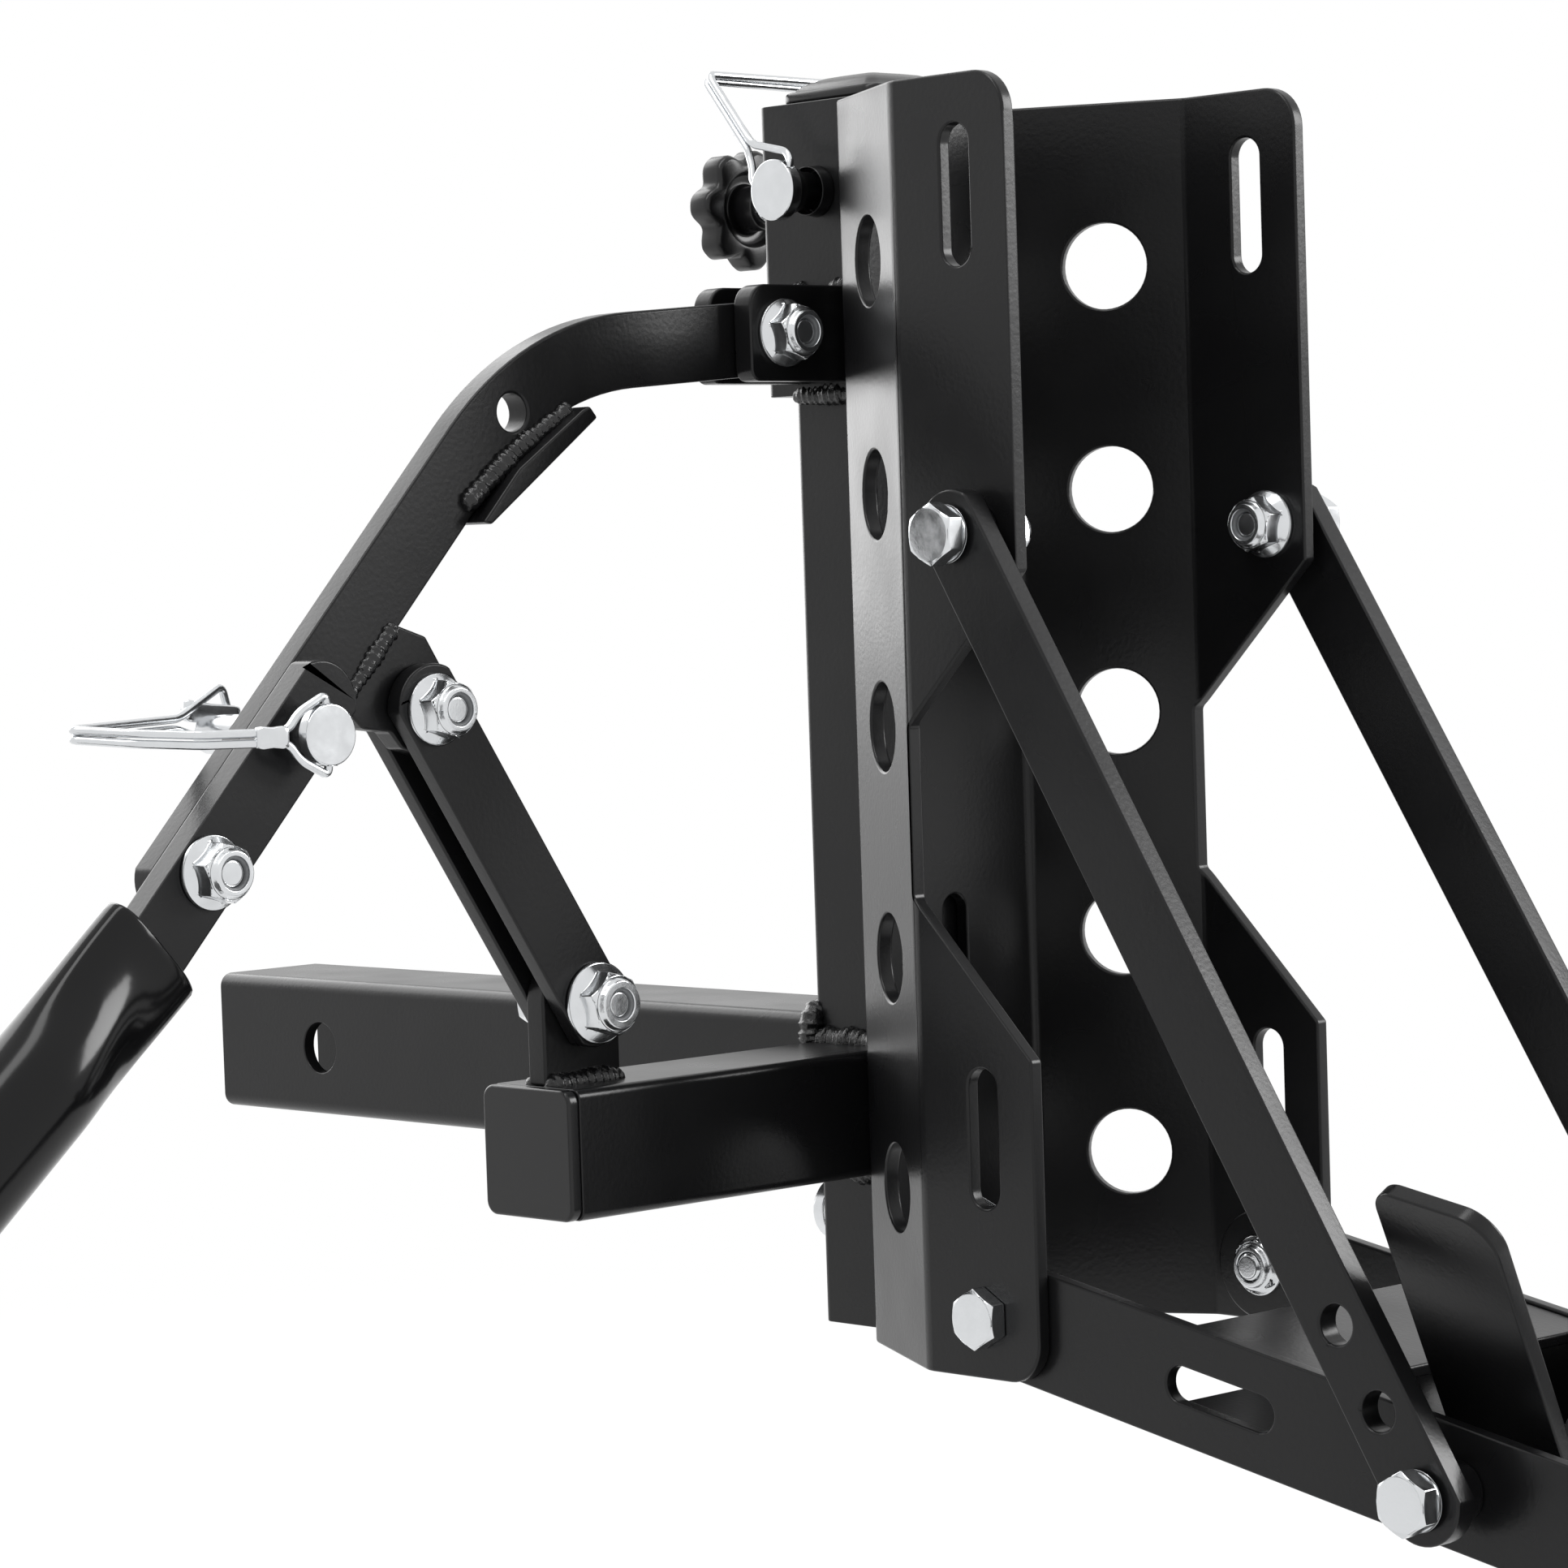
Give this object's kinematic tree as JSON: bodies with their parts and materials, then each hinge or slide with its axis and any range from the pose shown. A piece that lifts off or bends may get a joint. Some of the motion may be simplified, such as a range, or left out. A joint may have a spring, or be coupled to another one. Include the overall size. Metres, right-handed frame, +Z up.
{
  "type": "hitch motorcycle carrier",
  "caption": "Hitch-mounted front wheel carrier for a motorcycle: square shank, mast with a lever lift, and a folded wheel cradle with a sloping tray and side braces.",
  "frame": {"origin": "middle of the hitch pin hole, on the axis of the square shank", "axes": "+X to the rear of the towing vehicle, away from the hitch receiver; +Y to the side away from the short side arm and the lever; +Z up"},
  "size_m": [0.7621, 0.7258, 0.5491],
  "materials": {
    "black_coat": "satin black powder coat over welded steel",
    "black_gloss": "glossy black powder coat on round tube",
    "zinc": "bright zinc plated steel",
    "black_plastic": "moulded black plastic, fine texture",
    "grip_rubber": "black ribbed rubber"
  },
  "bodies": {
    "hitch_frame": {"hitch_shank": "black_coat", "side_arm": "black_coat", "mast_tube": "black_coat", "arm_end_cap": "black_plastic", "mast_top_cap": "black_plastic", "pivot_post": "black_coat", "guide_bolt": "zinc", "guide_nut": "zinc", "post_bolt": "zinc", "post_nut": "zinc"},
    "link": {"link_front": "black_coat", "link_rear": "black_coat", "link_bolt": "zinc", "link_nut": "zinc"},
    "lever": {"lever_bar": "black_coat", "lever_lug": "black_coat", "stop_plate": "black_coat", "handle_bolt": "zinc", "handle_nut": "zinc"},
    "handle": {"handle_bar": "black_coat", "handle_tube": "black_gloss", "handle_grip": "grip_rubber"},
    "lever_pin_body": {"lever_pin": "zinc"},
    "lever_bail": {"lever_pin_bail": "zinc"},
    "cradle": {"sleeve": "black_coat", "clevis_front": "black_coat", "clevis_rear": "black_coat", "clevis_bolt": "zinc", "clevis_nut": "zinc", "knob_boss": "black_coat", "pin_boss": "black_coat", "cradle_back": "black_coat", "brace_near": "black_coat", "brace_far": "black_coat", "brace_bolt_near": "zinc", "brace_bolt_far": "zinc", "brace_nut_near": "zinc", "brace_nut_far": "zinc", "tray_side_near": "black_coat", "tray_side_far": "black_coat", "tray_bolt_near": "zinc", "tray_bolt_far": "zinc", "tray_nut_near": "zinc", "tray_nut_far": "zinc", "foot_bolt_near": "zinc", "foot_bolt_far": "zinc", "foot_nut_near": "zinc", "foot_nut_far": "zinc", "tray_cross": "black_coat", "tray_floor": "black_coat", "tray_end": "black_coat", "wheel_guide_near": "black_coat", "wheel_guide_far": "black_coat"},
    "knob": {"star_knob": "black_plastic"},
    "height_pin_body": {"height_pin": "zinc"},
    "height_bail": {"height_pin_bail": "zinc"}
  },
  "joints": [
    {"name": "cradle_lift", "type": "slide", "parent": "hitch_frame", "child": "cradle", "axis": [0, 0, 1], "range_m": [-0.1, 0]},
    {"name": "link_swing", "type": "hinge", "parent": "hitch_frame", "child": "link", "pos_m": [0.282, -0.145, 0.0407], "axis": [1, 0, 0], "range_deg": [0, 23.82]},
    {"name": "lever_swing", "type": "hinge", "parent": "link", "child": "lever", "pos_m": [0.282, -0.2054, 0.135], "axis": [1, 0, 0], "range_deg": [-47.02, 0]},
    {"name": "handle_fold", "type": "hinge", "parent": "lever", "child": "handle", "pos_m": [0.282, -0.2952, 0.092], "axis": [1, 0, 0], "range_deg": [-45, 0]},
    {"name": "lever_pin_pull", "type": "slide", "parent": "handle", "child": "lever_pin_body", "axis": [1, 0, 0], "range_m": [0, 0.018]},
    {"name": "lever_bail_swing", "type": "hinge", "parent": "lever_pin_body", "child": "lever_bail", "pos_m": [0.3063, -0.258, 0.13], "axis": [0, 0, 1], "range_deg": [0, 80]},
    {"name": "knob_spin", "type": "hinge", "parent": "cradle", "child": "knob", "pos_m": [0.25, 0, 0.296], "axis": [1, 0, 0], "continuous": true},
    {"name": "height_pin_push", "type": "slide", "parent": "cradle", "child": "height_pin_body", "axis": [0, 1, 0], "range_m": [0, 0.0105]},
    {"name": "height_bail_swing", "type": "hinge", "parent": "height_pin_body", "child": "height_bail", "pos_m": [0.282, -0.04525, 0.296], "axis": [0.606, 0, 0.7955], "range_deg": [0, 60]}
  ],
  "couplings": [
    {"joint": "link_swing", "follows": "cradle_lift", "rad_per_m": -4.157},
    {"joint": "lever_swing", "follows": "cradle_lift", "rad_per_m": 8.2071}
  ]
}
